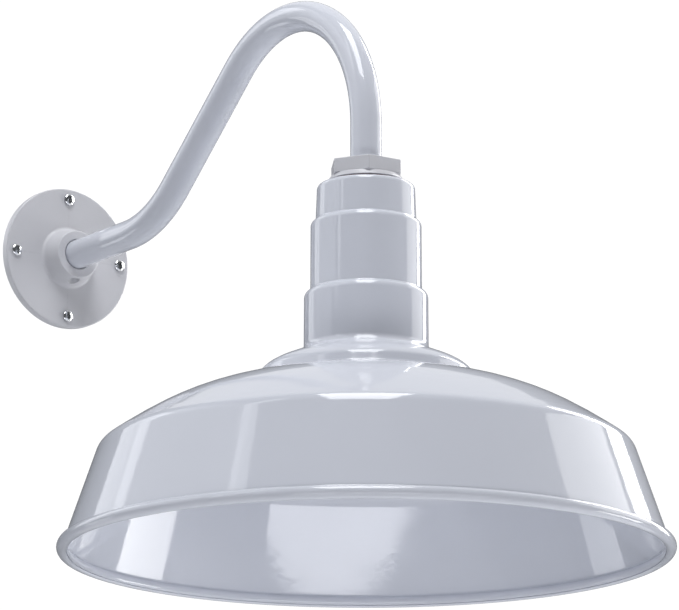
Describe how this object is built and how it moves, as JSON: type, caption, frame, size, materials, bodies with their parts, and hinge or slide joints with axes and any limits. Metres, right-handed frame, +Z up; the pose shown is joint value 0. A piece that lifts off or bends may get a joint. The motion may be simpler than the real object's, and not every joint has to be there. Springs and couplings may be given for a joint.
{
  "type": "outdoor wall lantern",
  "caption": "Gooseneck barn light: round cast wall plate, bent pipe arm and a wide spun shade with a stepped neck over a screw-base lamp.",
  "frame": {"origin": "centre of the wall plate's back face, on the wall's surface", "axes": "+Z up, +Y into the wall, so the arm reaches out along -Y; +X to the right for someone facing the wall"},
  "size_m": [0.413, 0.6093, 0.4065],
  "materials": {
    "gloss_enamel": "gloss",
    "cast_enamel": "satin",
    "black_rubber": "matte",
    "brown_rubber": "matte",
    "screw_chrome": "polished",
    "green_screw": "satin",
    "black_oxide": "satin",
    "nylon": "matte",
    "zinc_steel": "satin",
    "porcelain": "gloss",
    "brass": "satin",
    "black_insulation": "satin",
    "white_insulation": "satin",
    "green_insulation": "satin",
    "lamp_black_glass": "gloss",
    "lamp_metal": "satin",
    "lamp_housing": "satin",
    "lamp_board_white": "matte",
    "lamp_opal": "satin"
  },
  "bodies": {
    "wall_mount": {"wall_plate": "cast_enamel", "wall_gasket": "black_rubber", "wall_screws": "screw_chrome", "ground_screw": "green_screw", "arm_set_screw": "black_oxide"},
    "arm_and_shade": {"gooseneck_arm": "gloss_enamel", "wire_bushing": "nylon", "hub_fitting": "cast_enamel", "hub_gasket": "brown_rubber", "shade": "gloss_enamel", "socket_bracket": "zinc_steel", "lock_washer": "zinc_steel", "hub_locknut": "zinc_steel", "bracket_screws": "zinc_steel", "socket_body": "porcelain", "socket_shell": "brass", "socket_contact": "brass", "terminal_screws": "brass", "line_lead": "black_insulation", "neutral_lead": "white_insulation", "ground_lead": "green_insulation"},
    "lamp_tip": {"lamp_insulator": "lamp_black_glass", "lamp_contact": "lamp_metal"},
    "lamp": {"lamp_shell": "lamp_metal", "lamp_body": "lamp_housing", "lamp_board": "lamp_board_white", "lamp_globe": "lamp_opal"}
  },
  "joints": [
    {"name": "arm_swivel", "type": "hinge", "parent": "wall_mount", "child": "arm_and_shade", "pos_m": [0, 0, 0], "axis": [0, 1, 0], "range_deg": [-90, 90]},
    {"name": "lamp_travel", "type": "slide", "parent": "arm_and_shade", "child": "lamp_tip", "axis": [0, 0, -1], "range_m": [0, 0.0183]},
    {"name": "lamp_spin", "type": "hinge", "parent": "lamp_tip", "child": "lamp", "pos_m": [0, -0.39446, -0.2], "axis": [0, 0, -1], "range_deg": [0, 1800]}
  ],
  "couplings": [
    {"joint": "lamp_travel", "follows": "lamp_spin", "m_per_rad": 0.00057758}
  ]
}
